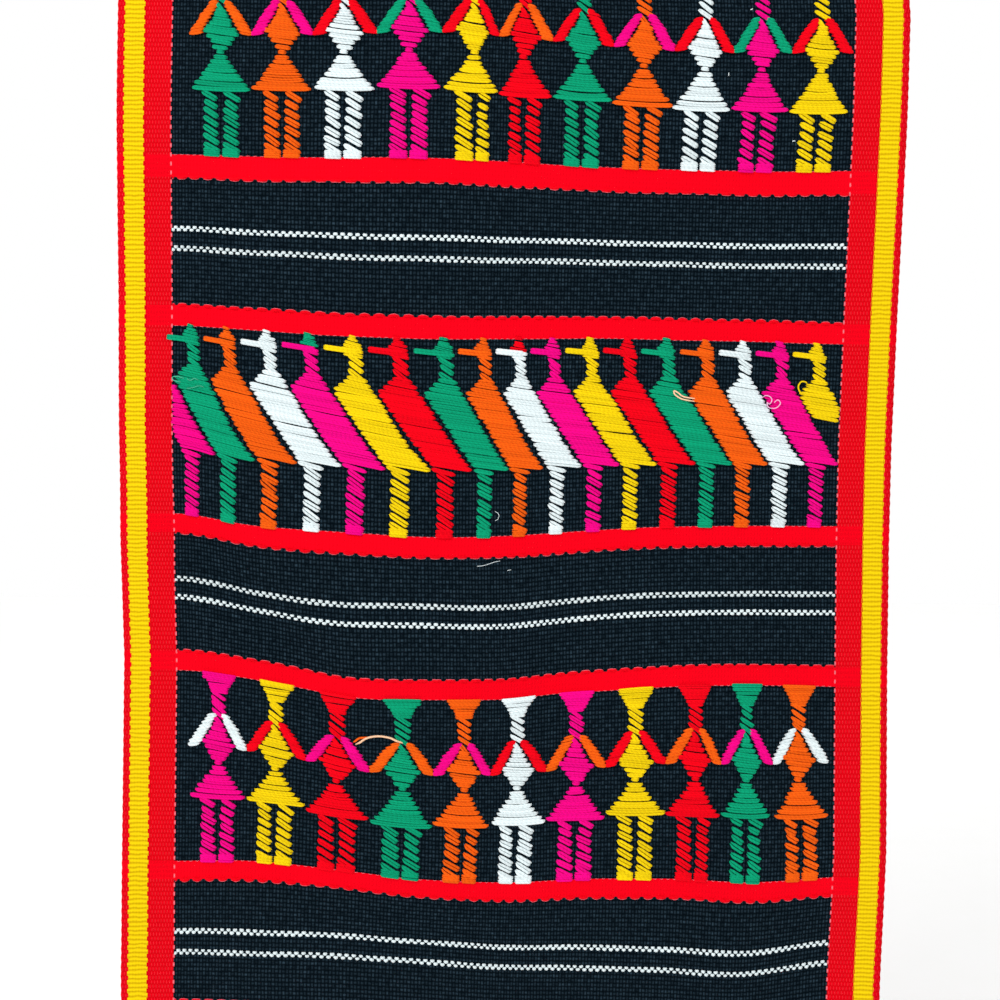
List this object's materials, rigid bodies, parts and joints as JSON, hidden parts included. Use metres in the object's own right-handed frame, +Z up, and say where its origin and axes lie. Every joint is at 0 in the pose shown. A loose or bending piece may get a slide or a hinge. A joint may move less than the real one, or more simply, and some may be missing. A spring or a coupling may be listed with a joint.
{
  "type": "woven wall tapestry",
  "caption": "Hand-woven black wall tapestry hung by its top hem, with red and yellow striped borders, white pinstripes, and rows of people and birds inlaid in bright yarn.",
  "frame": {"origin": "middle of the top edge, on the back of the top hem, where the wall would be", "axes": "+Z up along the warp, +X to the right across the cloth as seen from its face, +Y into the wall"},
  "size_m": [0.2838, 0.0115, 0.4435],
  "materials": {
    "black_ground": "matte",
    "red_yarn": "matte",
    "pink_yarn": "matte",
    "green_yarn": "matte",
    "orange_yarn": "matte",
    "yellow_yarn": "matte",
    "white_yarn": "matte"
  },
  "bodies": {
    "root": {"web": "black_ground", "person_top_01": "green_yarn", "person_top_02": "orange_yarn", "person_top_03": "white_yarn", "person_top_04": "pink_yarn", "person_top_05": "yellow_yarn", "person_top_06": "red_yarn", "person_top_07": "green_yarn", "person_top_08": "orange_yarn", "person_top_09": "white_yarn", "person_top_10": "pink_yarn", "person_top_11": "yellow_yarn", "person_low_01": "pink_yarn", "person_low_02": "yellow_yarn", "person_low_03": "red_yarn", "person_low_04": "green_yarn", "person_low_05": "orange_yarn", "person_low_06": "white_yarn", "person_low_07": "pink_yarn", "person_low_08": "yellow_yarn", "person_low_09": "red_yarn", "person_low_10": "green_yarn", "person_low_11": "orange_yarn", "bird_01": "pink_yarn", "bird_02": "green_yarn", "bird_03": "orange_yarn", "bird_04": "white_yarn", "bird_05": "pink_yarn", "bird_06": "yellow_yarn", "bird_07": "red_yarn", "bird_08": "green_yarn", "bird_09": "orange_yarn", "bird_10": "white_yarn", "bird_11": "pink_yarn", "bird_12": "yellow_yarn", "bird_13": "red_yarn", "bird_14": "green_yarn", "bird_15": "orange_yarn", "bird_16": "white_yarn", "bird_17": "pink_yarn", "bird_18": "yellow_yarn"}
  },
  "joints": []
}
